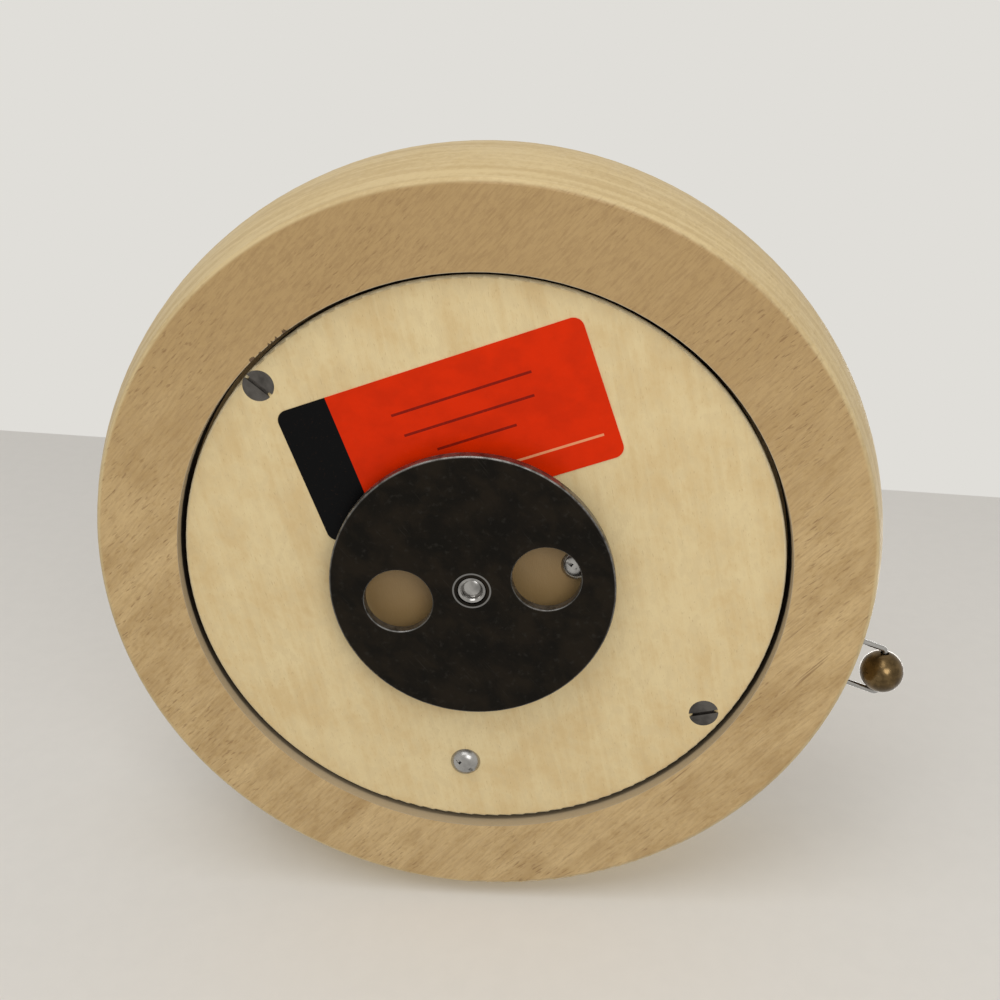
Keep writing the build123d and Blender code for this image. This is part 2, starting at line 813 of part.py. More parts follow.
with BuildPart() as click_spring:
    # a leaf from a post on the wheel's rim to the back of the pawl
    post_radius = (crown_outer_radius + crown_inner_radius) / 2
    post_x = post_radius * cos(click_angle / 2)
    post_y = post_radius * sin(click_angle / 2)
    leaf_x = nose_x + 2 * click_nose_width + end_gap
    leaf_y = -2 * click_nose_width
    with BuildSketch(level(great_web_top)):
        with Locations((post_x, post_y)):
            Circle(click_spring_post)
    extrude(amount=end_gap + ratchet_thickness)
    with BuildSketch(level(ratchet_bottom)):
        with BuildLine():
            Polyline(
                (post_x, post_y - click_leaf / 2),
                (post_x, post_y + click_leaf / 2),
                (leaf_x, leaf_y + click_leaf / 2),
                (leaf_x, leaf_y - click_leaf / 2),
                close=True,
            )
        make_face()
    extrude(amount=ratchet_thickness)
keep(click_spring.part, "click_spring")

# ---------------------------------------------------------------- cylinder

with BuildPart() as cylinder_arbor:
    with BuildSketch(upright(crown_inner_radius, 0, axis_height)):
        Circle(cylinder_arbor_radius)
    extrude(amount=-(bracket_end + end_gap - crown_inner_radius))
keep(cylinder_arbor.part, "cylinder_arbor")

with BuildPart() as cylinder_pinion:
    gap_up = 90 + 180 / cylinder_pinion_leaves
    with BuildSketch(upright(crown_inner_radius, 0, axis_height)):
        add(toothed_outline(cylinder_pinion_leaves, crown_module, 0.38, gap_up))
        Circle(cylinder_arbor_radius, mode=Mode.SUBTRACT)
    extrude(amount=-crown_face)
keep(cylinder_pinion.part, "cylinder_pinion")

with BuildPart() as cylinder_wheel:
    wheel_root = (cylinder_wheel_teeth / 2 - tooth_dedendum) * train_module
    with BuildSketch(upright(cylinder_wheel_y, 0, axis_height)):
        add(toothed_outline(cylinder_wheel_teeth, train_module, 0.4))
        Circle(cylinder_arbor_radius, mode=Mode.SUBTRACT)
        with PolarLocations((wheel_root + cylinder_arbor_radius) / 2, 4, start_angle=45):
            Circle((wheel_root - cylinder_arbor_radius) / 4, mode=Mode.SUBTRACT)
    extrude(amount=-wheel_width)
keep(cylinder_wheel.part, "cylinder_wheel")

with BuildPart() as cylinder_caps:
    for y in (cylinder_start + end_gap, cylinder_end - end_gap - cylinder_cap_thickness):
        with BuildSketch(upright(y, 0, axis_height)):
            Circle(cylinder_radius - cylinder_wall)
            Circle(cylinder_arbor_radius, mode=Mode.SUBTRACT)
        extrude(amount=-cylinder_cap_thickness)
keep(cylinder_caps.part, "cylinder_caps")

with BuildPart() as pin_cylinder:
    with BuildSketch(upright(cylinder_start, 0, axis_height)):
        Circle(cylinder_radius)
        Circle(cylinder_radius - cylinder_wall, mode=Mode.SUBTRACT)
    extrude(amount=-cylinder_length)
keep(pin_cylinder.part, "pin_cylinder")

comb_pitch = (cylinder_length - 2 * end_gap) / comb_tooth_count


def tooth_y(index):
    """Where a comb tooth, and its track on the cylinder, stands along the axis."""
    return cylinder_start + end_gap + (index + 0.5) * comb_pitch


with BuildPart() as cylinder_pins:
    # rising and falling broken chords, one step after another round the cylinder
    pin_foot = cylinder_radius - cylinder_wall / 2
    with BuildSketch() as pin_section:
        RegularPolygon(pin_radius, pin_sides)
    pin = extrude(pin_section.sketch, amount=pin_circle_radius - pin_foot, mode=Mode.PRIVATE)
    pin_places = []
    for step in range(pin_steps):
        angle = radians(360 / pin_steps * (step + 0.5))
        outward = (cos(angle), 0, sin(angle))
        for interval in chord_intervals:
            note = (5 * step % 7 + interval + step // 3) % comb_tooth_count
            foot = (pin_foot * outward[0], tooth_y(note), axis_height + pin_foot * outward[2])
            pin_places.append(Location(Plane(origin=foot, x_dir=(0, 1, 0), z_dir=outward)))
    with Locations(*pin_places):
        add(pin)
keep(cylinder_pins.part, "cylinder_pins")

# ---------------------------------------------------------------- second arbor and governor

with BuildPart() as second_pinion:
    gap_left = 180 / second_pinion_leaves
    with BuildSketch(upright(second_pinion_y, second_x, axis_height)):
        add(toothed_outline(second_pinion_leaves, train_module, 0.38, gap_left))
    extrude(amount=-second_pinion_width)
    with BuildSketch(upright(front_plate_y, second_x, axis_height)):
        Circle(second_arbor_radius)
    extrude(amount=-(second_pinion_y + second_pinion_width - front_plate_y))
keep(second_pinion.part, "second_pinion")

with BuildPart() as worm_wheel:
    with BuildSketch(upright(worm_wheel_y, second_x, axis_height)):
        add(toothed_outline(worm_wheel_teeth, train_module, 0.36))
        Circle(second_arbor_radius, mode=Mode.SUBTRACT)
    extrude(amount=-wheel_width)
keep(worm_wheel.part, "worm_wheel")

with BuildPart() as governor_worm:
    arbor_bottom = plate_top + bed_thickness - pivot_length
    core_start = bed_top + end_gap
    core_stop = frame_arm_bottom - end_gap
    with BuildSketch(Plane(origin=(worm_x, worm_y, 0), x_dir=(1, 0, 0), z_dir=(0, -1, 0))):
        with BuildLine():
            Polyline(
                (0, arbor_bottom),
                (pivot_radius, arbor_bottom),
                (pivot_radius, core_start),
                (governor_arbor_radius, core_start),
                (governor_arbor_radius, worm_start - train_pitch / 2),
                (worm_core_radius, worm_start - train_pitch / 2),
                (worm_core_radius, worm_end + train_pitch / 2),
                (governor_arbor_radius, worm_end + train_pitch / 2),
                (governor_arbor_radius, core_stop),
                (pivot_radius, core_stop),
                (pivot_radius, frame_arm_bottom + pivot_length),
                (0, frame_arm_bottom + pivot_length),
                (0, arbor_bottom),
            )
        make_face()
    revolve(axis=Axis((worm_x, worm_y, 0), (0, 0, 1)))
    # the thread: a tapered ridge that rises one tooth of the worm wheel in each turn
    thread_tip = worm_pitch_radius + worm_tip_reach
    thread_foot = worm_core_radius - worm_foot_sink
    half_foot = worm_foot_share * train_pitch
    half_tip = worm_tip_share * train_pitch
    ridge_path = Helix(
        pitch=train_pitch,
        height=worm_turns * train_pitch,
        radius=thread_foot,
        center=(worm_x, worm_y, worm_start),
    )
    with BuildSketch(Plane(origin=(worm_x, worm_y, worm_start), x_dir=(1, 0, 0), z_dir=(0, -1, 0))):
        with BuildLine():
            Polyline(
                (thread_foot, -half_foot),
                (thread_tip, -half_tip),
                (thread_tip, half_tip),
                (thread_foot, half_foot),
                (thread_foot, -half_foot),
            )
        make_face()
    sweep(path=ridge_path, is_frenet=True)
keep(governor_worm.part, "governor_worm")

with BuildPart() as fan:
    # two wings on a split hub, folded from one strip
    with BuildSketch(level(fan_bottom)):
        with Locations(Location((worm_x, worm_y, 0), (0, 0, fan_angle))):
            Rectangle(2 * sqrt(fan_radius**2 - fan_thickness**2), fan_thickness)
            Circle(fan_hub_radius)
            Circle(governor_arbor_radius, mode=Mode.SUBTRACT)
    extrude(amount=fan_height)
keep(fan.part, "fan")

# ---------------------------------------------------------------- bearing plates and governor frame

plate_crest = axis_height + bearing_margin

with BuildPart() as front_plate:
    left = -bearing_margin - bearing_side
    right = second_x + bearing_margin
    with BuildSketch(upright(front_plate_y)) as front_outline:
        with Locations(((left + right) / 2, (bed_top + plate_crest) / 2)):
            Rectangle(right - left, plate_crest - bed_top)
        fillet(front_outline.vertices().group_by(Axis.Z)[-1], bearing_round)
        for x in (0, second_x):
            with Locations((x, bed_top - bed_thickness / 2)):
                Rectangle(tenon_width, bed_thickness)
        with Locations((0, axis_height)):
            Circle(cylinder_arbor_radius + running_clearance, mode=Mode.SUBTRACT)
        with Locations((second_x, axis_height)):
            Circle(second_arbor_radius + running_clearance, mode=Mode.SUBTRACT)
    extrude(amount=-bearing_plate_thickness)
keep(front_plate.part, "front_plate")

with BuildPart() as train_plate:
    with BuildSketch(upright(train_plate_y)) as train_outline:
        with Locations((second_x, (bed_top + plate_crest) / 2)):
            Rectangle(2 * bearing_margin, plate_crest - bed_top)
        fillet(train_outline.vertices().group_by(Axis.Z)[-1], bearing_round)
        with Locations((second_x, bed_top - bed_thickness / 2)):
            Rectangle(tenon_width, bed_thickness)
        with Locations((second_x, axis_height)):
            Circle(second_arbor_radius + running_clearance, mode=Mode.SUBTRACT)
    extrude(amount=-bearing_plate_thickness)
keep(train_plate.part, "train_plate")

with BuildPart() as cylinder_bracket:
    with BuildSketch(upright(bracket_y)) as bracket_outline:
        with Locations((0, (bed_top + plate_crest) / 2)):
            Rectangle(2 * (bearing_margin + bearing_side), plate_crest - bed_top)
        fillet(bracket_outline.vertices().group_by(Axis.Z)[-1], bearing_round)
        with Locations((0, bed_top - bed_thickness / 2)):
            Rectangle(tenon_width, bed_thickness)
        with Locations((0, axis_height)):
            Circle(cylinder_arbor_radius + running_clearance, mode=Mode.SUBTRACT)
    extrude(amount=-bearing_plate_thickness)
keep(cylinder_bracket.part, "cylinder_bracket")

with BuildPart() as governor_frame:
    # one strip bent into a foot, a post and an arm over the fan
    arm_end = worm_y - frame_arm_reach
    strip_side = Plane(origin=(worm_x - frame_width / 2, 0, 0), x_dir=(0, 1, 0), z_dir=(1, 0, 0))
    with BuildSketch(strip_side):
        with BuildLine():
            Polyline(
                (frame_foot_end, bed_top),
                (frame_post_y, bed_top),
                (frame_post_y, frame_arm_bottom),
                (arm_end, frame_arm_bottom),
                (arm_end, frame_arm_top),
                (frame_post_y + frame_sheet, frame_arm_top),
                (frame_post_y + frame_sheet, bed_top + frame_sheet),
                (frame_foot_end, bed_top + frame_sheet),
                (frame_foot_end, bed_top),
            )
        make_face()
    extrude(amount=frame_width)
    outer_bend = governor_frame.edges().filter_by(Axis.X).sort_by(Axis.Z)[-2:].sort_by(Axis.Y)[-1]
    fillet(outer_bend, frame_sheet / 2)
    with BuildSketch(level(frame_arm_bottom)):
        with Locations((worm_x, worm_y)):
            Circle(pivot_radius + running_clearance)
    extrude(amount=frame_sheet, mode=Mode.SUBTRACT)
    with BuildSketch(level(bed_top)):
        with Locations(*[(x, frame_screw_y) for x in frame_screw_xs]):
            Circle(frame_screw_radius)
    extrude(amount=frame_sheet, mode=Mode.SUBTRACT)
keep(governor_frame.part, "governor_frame")

with BuildPart() as frame_screws:
    foot_top = bed_top + frame_sheet
    with BuildSketch(level(plate_top)):
        with Locations(*[(x, frame_screw_y) for x in frame_screw_xs]):
            Circle(frame_screw_radius)
    extrude(amount=foot_top - plate_top)
    with BuildSketch(level(foot_top)):
        with Locations(*[(x, frame_screw_y) for x in frame_screw_xs]):
            Circle(frame_screw_head_radius)
            Rectangle(4 * frame_screw_head_radius, small_slot_width, mode=Mode.SUBTRACT)
    extrude(amount=frame_screw_head_height)
keep(frame_screws.part, "frame_screws")

# ---------------------------------------------------------------- comb

with BuildPart() as comb:
    # the blank, thinned underneath towards the tooth tips
    thin_start = comb_tip_x - comb_treble_slot
    blank_side = Plane(origin=(0, cylinder_start + end_gap, 0), x_dir=(1, 0, 0), z_dir=(0, -1, 0))
    with BuildSketch(blank_side):
        with BuildLine():
            Polyline(
                (comb_back_x, comb_bottom),
                (thin_start, comb_bottom),
                (comb_tip_x, comb_top - comb_tip_thickness),
                (comb_tip_x, comb_top),
                (comb_back_x, comb_top),
                (comb_back_x, comb_bottom),
            )
        make_face()
    extrude(amount=-(cylinder_length - 2 * end_gap))
    # tuning weights under the long teeth
    weight_x = comb_tip_x - comb_weight_setback - comb_weight_length / 2
    with BuildSketch(level(comb_bottom - comb_weight_depth)):
        with Locations(*[(weight_x, tooth_y(index)) for index in range(comb_weighted_teeth)]):
            Rectangle(comb_weight_length, comb_pitch)
    extrude(amount=comb_weight_depth + comb_thickness / 2)
    # slots between the teeth, shorter towards the treble
    with BuildSketch(level(comb_bottom - 2 * comb_thickness)):
        for index in range(1, comb_tooth_count):
            share = index / comb_tooth_count
            slot = comb_bass_slot + share * (comb_treble_slot - comb_bass_slot)
            with Locations((comb_tip_x + comb_tip_clearance / 2, tooth_y(index) - comb_pitch / 2)):
                Rectangle(slot, comb_slot_width, align=(Align.MAX, Align.CENTER))
    extrude(amount=4 * comb_thickness, mode=Mode.SUBTRACT)
    # the outer corner, cut off to clear the wooden base, and the screw holes
    with BuildSketch(level(comb_bottom)):
        with BuildLine():
            far_y = cylinder_end - end_gap
            Polyline(
                (comb_back_x, far_y - comb_corner),
                (comb_back_x + comb_corner, far_y),
                (comb_back_x, far_y),
                (comb_back_x, far_y - comb_corner),
            )
        make_face()
        with Locations(*[(comb_screw_x, y) for y in comb_screw_ys]):
            Circle(comb_screw_radius)
    extrude(amount=comb_thickness, mode=Mode.SUBTRACT)
keep(comb.part, "comb")

with BuildPart() as comb_screws:
    with BuildSketch(level(comb_bottom - comb_screw_depth)):
        with Locations(*[(comb_screw_x, y) for y in comb_screw_ys]):
            Circle(comb_screw_radius)
    extrude(amount=comb_screw_depth + comb_thickness)
    with BuildSketch(level(comb_top)):
        with Locations(*[(comb_screw_x, y) for y in comb_screw_ys]):
            Circle(comb_screw_head_radius)
            Rectangle(4 * comb_screw_head_radius, small_slot_width, mode=Mode.SUBTRACT)
    extrude(amount=comb_screw_head_height)
keep(comb_screws.part, "comb_screws")

# ---------------------------------------------------------------- stop wire and bead

with BuildPart() as stop_wire:
    # from the hook inside the case, out and back round the loop, and in to the fan
    hook_reach = sqrt(cavity_radius**2 - (wire_hold_leg - hook_length) ** 2) - wire_diameter
    stop_height = fan_bottom + stop_height_on_fan
    loop_short_reach = base_belly_radius + loop_short_stand
    loop_long_reach = base_belly_radius + loop_long_stand
    route = (
        wire_point(hook_reach, wire_hold_leg - hook_length, wire_height),
        wire_point(hook_reach, wire_hold_leg, wire_height),
        wire_point(loop_short_reach, wire_hold_leg, wire_height),
        wire_point(loop_long_reach, wire_stop_leg, wire_height),
        wire_point(stop_leg_inner_end, wire_stop_leg, wire_height),
        (*stop_rise, stop_height),
        (*stop_tip, stop_height),
    )
    bends = (wire_bend, wire_bend, wire_bend, wire_inner_bend, wire_inner_bend)
    with BuildLine() as wire_path:
        FilletPolyline(*route, radius=bends)
    start = wire_path.line @ 0
    heading = wire_path.line % 0
    with BuildSketch(Plane(origin=start, z_dir=heading)):
        Circle(wire_diameter / 2)
    sweep(path=wire_path.line)
keep(stop_wire.part, "stop_wire")

with BuildPart() as bead:
    corner_in = Vector(*wire_point(loop_short_reach, wire_hold_leg, wire_height))
    corner_out = Vector(*wire_point(loop_long_reach, wire_stop_leg, wire_height))
    middle = (corner_in + corner_out) * 0.5
    through = (corner_out - corner_in).normalized()
    with Locations(middle):
        Sphere(bead_diameter / 2)
    with BuildSketch(Plane(origin=middle - through * bead_diameter / 2, z_dir=through)):
        Circle(bead_bore_radius)
    extrude(amount=bead_diameter, mode=Mode.SUBTRACT)
keep(bead.part, "bead")
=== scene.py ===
"""Finishes of a disc music box: turned beech base, ply plate, printed sticker and clockwork metals."""
import math

import bpy
from mathutils import Matrix, Vector


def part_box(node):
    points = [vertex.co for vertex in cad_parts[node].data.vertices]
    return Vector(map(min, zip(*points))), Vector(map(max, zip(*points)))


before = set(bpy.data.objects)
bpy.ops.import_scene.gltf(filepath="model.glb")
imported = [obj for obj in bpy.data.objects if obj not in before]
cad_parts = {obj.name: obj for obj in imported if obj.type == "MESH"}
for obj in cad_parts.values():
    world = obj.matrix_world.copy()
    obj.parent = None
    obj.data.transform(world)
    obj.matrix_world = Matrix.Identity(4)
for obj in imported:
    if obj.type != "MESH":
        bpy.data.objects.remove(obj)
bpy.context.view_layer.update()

bl_info = {
    "name": "Disc music box finishes",
    "version": (1, 0, 0),
    "blender": (4, 5, 0),
    "location": "View3D > Sidebar > Music Box",
    "description": "Gives each piece of a disc music box its finish and sets a studio around it",
    "category": "Object",
}

REBATE_GAP = 0.0007
BELLY_RISE = 0.003
STICKER_HALF_LENGTH = 0.023
FLOOR_GAP = 0.00005
FLOOR_NEAR = -0.9
FLOOR_FAR_LEFT = 0.275
FLOOR_FAR_RIGHT = 0.128
FLOOR_HALF_WIDTH = 0.62


# ---------------------------------------------------------------- measures taken from the frame

base_low, base_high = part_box("wood_base")
plate_low, plate_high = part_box("bottom_plate")
label_low, label_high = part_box("label")
disc_low, disc_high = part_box("winding_disc")

case_centre = (base_low + base_high) / 2
label_centre = (label_low + label_high) / 2
disc_radius = (disc_high.x - disc_low.x) / 2
plate_radius = (plate_high.x - plate_low.x) / 2
belly_radius = (base_high.y - base_low.y) / 2
rebate_radius = plate_radius + REBATE_GAP
face_radius = belly_radius - BELLY_RISE
finger_hole = Vector((0.01099, -0.00218, 0))
finger_hole_radius = 0.0051
riveting_radius = 0.00275


def tint(red, green, blue):
    """Linear colour of a colour given in display values from 0 to 255."""
    def linear(value):
        level = value / 255
        return level / 12.92 if level <= 0.04045 else ((level + 0.055) / 1.055) ** 2.4
    return (linear(red), linear(green), linear(blue))


def colour(name, description, default):
    """A colour that the panel shows."""
    return bpy.props.FloatVectorProperty(
        name=name, description=description, default=default, size=3, min=0, max=1, subtype="COLOR")


def length(name, description, default):
    """A length in metres that the panel shows."""
    return bpy.props.FloatProperty(
        name=name, description=description, default=default, min=0, unit="LENGTH", precision=5)


def angle(name, description, default):
    """An angle that the panel shows in degrees."""
    return bpy.props.FloatProperty(
        name=name, description=description, default=default, subtype="ANGLE")


def share(name, description, default, high=1):
    """A plain number between nothing and a highest value."""
    return bpy.props.FloatProperty(
        name=name, description=description, default=default, min=0, max=high, subtype="FACTOR")


# ---------------------------------------------------------------- settings

class BeechSettings(bpy.types.PropertyGroup):
    """The turned base."""
    face: colour("Face", "Tan of the turned underside", tint(213, 182, 129))
    face_deep: colour("Face streaks", "Deeper tan of its streaks", tint(179, 146, 95))
    side: colour("Side", "Paler wood of the bulging side", tint(210, 186, 137))
    side_deep: colour("Side streaks", "Streaks along the side", tint(194, 168, 119))
    fleck: colour("Flecks", "Brown of the short ray flecks", tint(136, 101, 60))
    wall: colour("Rebate wall", "Greyed wood of the wall round the plate", tint(176, 158, 128))
    # Painted shade: the dark colour painted into the gap round the plate.
    gap: colour("Gap", "Dark of the gap round the plate", tint(30, 21, 14))
    chip: colour("Chips", "Brown of the torn edge of the rebate", tint(74, 48, 27))
    grain: angle("Grain", "Direction of the grain in the underside", math.radians(-48))
    streak: length("Streak length", "Length of a streak of the grain", 0.034)
    fleck_length: length("Fleck length", "Length of a ray fleck", 0.0017)
    sheen: share("Roughness", "Roughness of the bare wood", 0.56)


class PlySettings(bpy.types.PropertyGroup):
    """The round bottom plate."""
    pale: colour("Pale", "Pale birch face", tint(230, 207, 156))
    warm: colour("Warm", "Warmer clouds in the face", tint(217, 188, 134))
    # Painted highlight: the colour of the rounded edge of the face.
    edge: colour("Edge", "Bright rounded edge of the face", tint(236, 224, 190))
    core: colour("Core", "Darker middle ply at the edge", tint(160, 122, 76))
    # Painted shade: the colour of the ply under the disc.
    shade_under_disc: colour("Oiled", "Wood under the disc, dark from oil and fingers", tint(136, 106, 62))
    # Painted shade: the dark colour painted on the plate's side inside the gap.
    gap: colour("Gap", "Dark edge inside the gap", tint(30, 21, 14))
    grain: angle("Grain", "Direction of the face grain", math.radians(78))
    streak: length("Streak length", "Length of a streak of the face grain", 0.026)
    sheen: share("Roughness", "Roughness of the sanded face", 0.5)


class StickerSettings(bpy.types.PropertyGroup):
    """The sticker on the plate, with plain rules where such stickers are lettered."""
    red: colour("Red", "Ground of the sticker", tint(224, 45, 0))
    black: colour("Black", "Band across its end", tint(3, 3, 4))
    ink: colour("Ink", "Dark rules", tint(112, 18, 10))
    pale: colour("Pale ink", "Pale rules", tint(238, 170, 120))
    turn: angle("Turn", "How the sticker is turned on the plate", math.radians(-19.3))
    band: length("Band", "Width of the black band", 0.0078)
    rule: length("Rule", "Thickness of a printed rule", 0.00034)


class MetalSettings(bpy.types.PropertyGroup):
    """The metals of the winder, the screws, the stop and the movement."""
    steel: colour("Bright steel", "Polished screws and shafts", (0.42, 0.41, 0.395))
    dark_steel: colour("Dark steel", "Waxed wood screws", (0.13, 0.12, 0.11))
    blackened: colour("Blackened steel", "Winding disc", (0.0125, 0.0112, 0.0095))
    comb: colour("Comb steel", "Tempered and ground steel", (0.42, 0.42, 0.43))
    spring: colour("Spring steel", "Blue grey rolled strip", (0.16, 0.18, 0.22))
    nickel: colour("Nickel", "Plated sheet", (0.64, 0.61, 0.55))
    brass: colour("Brass", "Turned and milled brass", (0.66, 0.46, 0.16))
    cast: colour("Cast bed", "Bead blasted die casting", (0.40, 0.39, 0.36))
    bronze: colour("Bead", "Darkened brass of the bead", (0.155, 0.103, 0.047))


class StudioSettings(bpy.types.PropertyGroup):
    """Floor, lamps and camera."""
    floor: colour("Floor", "Pale floor", tint(226, 222, 215))
    wall: colour("Wall", "Pale wall behind the floor", tint(224, 222, 217))
    ambient: share("Ambient", "Light from all round", 0.52, 2)
    key: bpy.props.FloatProperty(
        name="Key", description="Power of the large lamp above", default=1.45, min=0, unit="POWER")
    fill: bpy.props.FloatProperty(
        name="Fill", description="Power of the lamp by the camera", default=0.5, min=0, unit="POWER")
    glint: bpy.props.FloatProperty(
        name="Glint", description="Power of the small lamp", default=0.1, min=0, unit="POWER")
    back: bpy.props.FloatProperty(
        name="Back", description="Power of the lamp behind", default=1.2, min=0, unit="POWER")
    camera_place: bpy.props.FloatVectorProperty(
        name="Camera", description="Place of the camera", size=3, unit="LENGTH", precision=5,
        default=(0.01345, -0.07974, -0.14934))
    tilt: angle("Tilt", "How far the base leans back from the camera", 0.410)
    swing: angle("Swing", "How far the base is turned from the camera", -0.062)
    lens: bpy.props.FloatProperty(
        name="Lens", description="Focal length on a 36 mm sensor", default=41.4, min=1, unit="CAMERA")


# ---------------------------------------------------------------- building a finish

class Finish:
    """One material, put together from nodes that read the piece's own coordinates."""

    def __init__(self, name):
        self.material = bpy.data.materials.new(name)
        self.material.use_nodes = True
        self.tree = self.material.node_tree
        self.shader = self.tree.nodes["Principled BSDF"]
        self.place = self.add("ShaderNodeTexCoord").outputs["Object"]

    def add(self, kind, **values):
        """A node of a kind, with its own settings."""
        node = self.tree.nodes.new(kind)
        for name, value in values.items():
            setattr(node, name, value)
        return node

    def feed(self, socket, value):
        """Links a socket to another one, or sets it to a plain value."""
        if isinstance(value, bpy.types.NodeSocket):
            self.tree.links.new(value, socket)
        elif isinstance(socket, bpy.types.NodeSocketColor) and len(value) == 3:
            socket.default_value = (*value, 1)
        else:
            socket.default_value = value

    def space(self, sizes, turn=0.0, centre=(0, 0, 0)):
        """Coordinates turned about Z and centred, in which one unit is one feature of the sizes."""
        mapping = self.add("ShaderNodeMapping", vector_type="TEXTURE")
        self.feed(mapping.inputs["Vector"], self.place)
        mapping.inputs["Location"].default_value = centre
        mapping.inputs["Rotation"].default_value = (0, 0, turn)
        mapping.inputs["Scale"].default_value = sizes
        return mapping.outputs["Vector"]

    def noise(self, space, detail=3.0, rough=0.5, distortion=0.0):
        """Soft clouds, about one for each unit of the space."""
        node = self.add("ShaderNodeTexNoise")
        self.feed(node.inputs["Vector"], space)
        node.inputs["Scale"].default_value = 1
        node.inputs["Detail"].default_value = detail
        node.inputs["Roughness"].default_value = rough
        node.inputs["Distortion"].default_value = distortion
        return node.outputs["Fac"]

    def ramp(self, value, low, high, start=0.0, end=1.0):
        """A smooth step from start to end while the value goes from low to high."""
        node = self.add("ShaderNodeMapRange", interpolation_type="SMOOTHSTEP")
        for name, part in (("Value", value), ("From Min", low), ("From Max", high),
                           ("To Min", start), ("To Max", end)):
            self.feed(node.inputs[name], part)
        return node.outputs["Result"]

    def noise_along(self, value, detail=2.0, rough=0.5):
        """Soft clouds along one value, about one for each unit."""
        node = self.add("ShaderNodeTexNoise", noise_dimensions="1D")
        self.feed(node.inputs["W"], value)
        node.inputs["Scale"].default_value = 1
        node.inputs["Detail"].default_value = detail
        node.inputs["Roughness"].default_value = rough
        return node.outputs["Fac"]

    def math(self, operation, first, second=0.0):
        """Plain arithmetic on two values."""
        node = self.add("ShaderNodeMath", operation=operation)
        self.feed(node.inputs[0], first)
        self.feed(node.inputs[1], second)
        return node.outputs["Value"]

    def times(self, first, *others):
        """The product of several values."""
        for other in others:
            first = self.math("MULTIPLY", first, other)
        return first

    def band(self, value, middle, half_width, soft):
        """One inside a band about the middle of a value, nought outside it."""
        off = self.math("ABSOLUTE", self.math("SUBTRACT", value, middle))
        return self.ramp(off, half_width, half_width + soft, 1.0, 0.0)

    def blend(self, factor, first, second):
        """A colour between two others."""
        node = self.add("ShaderNodeMix", data_type="RGBA")
        self.feed(node.inputs[0], factor)
        self.feed(node.inputs[6], first)
        self.feed(node.inputs[7], second)
        return node.outputs[2]

    def axes(self, space=None):
        """The three coordinates of a space, each by itself."""
        node = self.add("ShaderNodeSeparateXYZ")
        self.feed(node.inputs["Vector"], space or self.place)
        return node.outputs["X"], node.outputs["Y"], node.outputs["Z"]

    def radius(self, centre):
        """Distance from a line through the centre along Z."""
        x, y, _ = self.axes(self.space((1, 1, 1), 0, centre))
        return self.math("SQRT", self.math("ADD", self.times(x, x), self.times(y, y)))

    def bearing(self, centre):
        """Angle round a line through the centre along Z."""
        x, y, _ = self.axes(self.space((1, 1, 1), 0, centre))
        return self.math("ARCTAN2", y, x)

    def relief(self, height, depth):
        """Fine relief of a height field."""
        node = self.add("ShaderNodeBump")
        node.inputs["Distance"].default_value = depth
        self.feed(node.inputs["Height"], height)
        self.feed(self.shader.inputs["Normal"], node.outputs["Normal"])

    def surface(self, base, rough, metal=0.0, **others):
        """The shader's own values."""
        self.feed(self.shader.inputs["Base Color"], base)
        self.feed(self.shader.inputs["Roughness"], rough)
        self.shader.inputs["Metallic"].default_value = metal
        for name, value in others.items():
            self.shader.inputs[name.replace("_", " ")].default_value = value
        return self.material


def dress(finish, *names):
    """Puts a finish on CAD nodes."""
    for name in names:
        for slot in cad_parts[name].material_slots:
            slot.material = finish


# ---------------------------------------------------------------- woods

